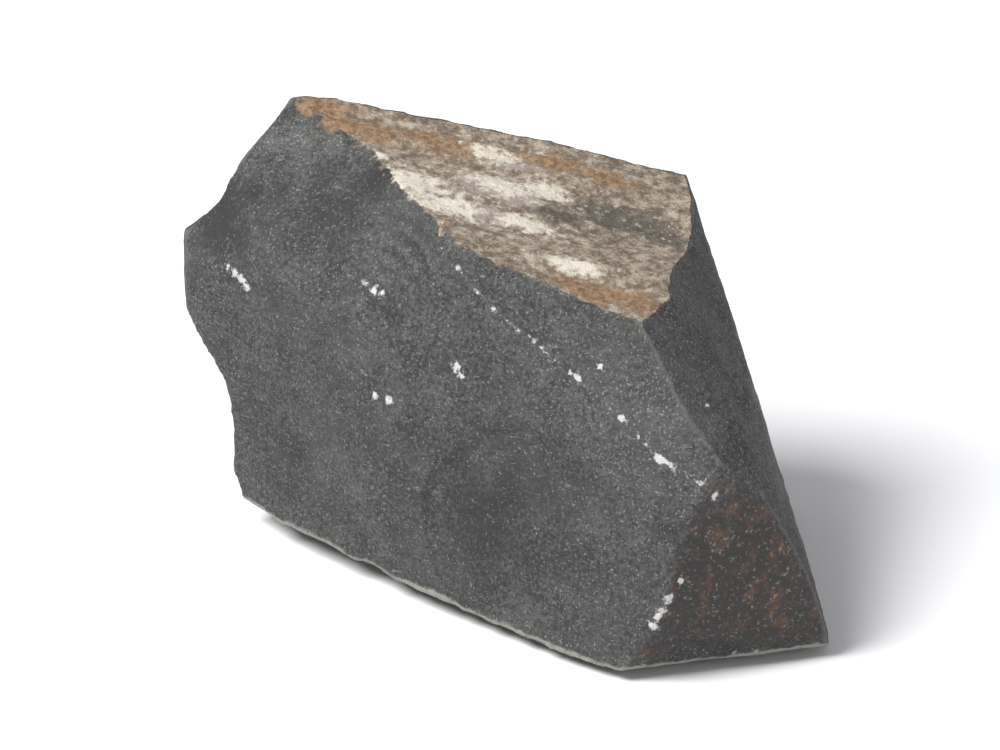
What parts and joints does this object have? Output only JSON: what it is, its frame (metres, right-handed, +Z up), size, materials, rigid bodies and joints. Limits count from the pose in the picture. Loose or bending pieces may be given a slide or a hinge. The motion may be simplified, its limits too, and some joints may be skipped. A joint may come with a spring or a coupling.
{
  "type": "raw black jade stone",
  "caption": "Broken natural stone lying on a small flat spot, with a large fresh black front face, shell-shaped scars and weathered brown rind on its sloping top and underside.",
  "frame": {"origin": "middle of the stone's length and depth, level with the flat spot that it rests on", "axes": "+X along the stone's length to the viewer's right, +Y away from the fresh front face, +Z up"},
  "size_m": [0.077, 0.0584, 0.0539],
  "materials": {
    "black_jade": "matte, finely sugary fresh break with patches of rough brown rind"
  },
  "bodies": {
    "root": {"black_jade_stone": "black_jade"}
  },
  "joints": []
}
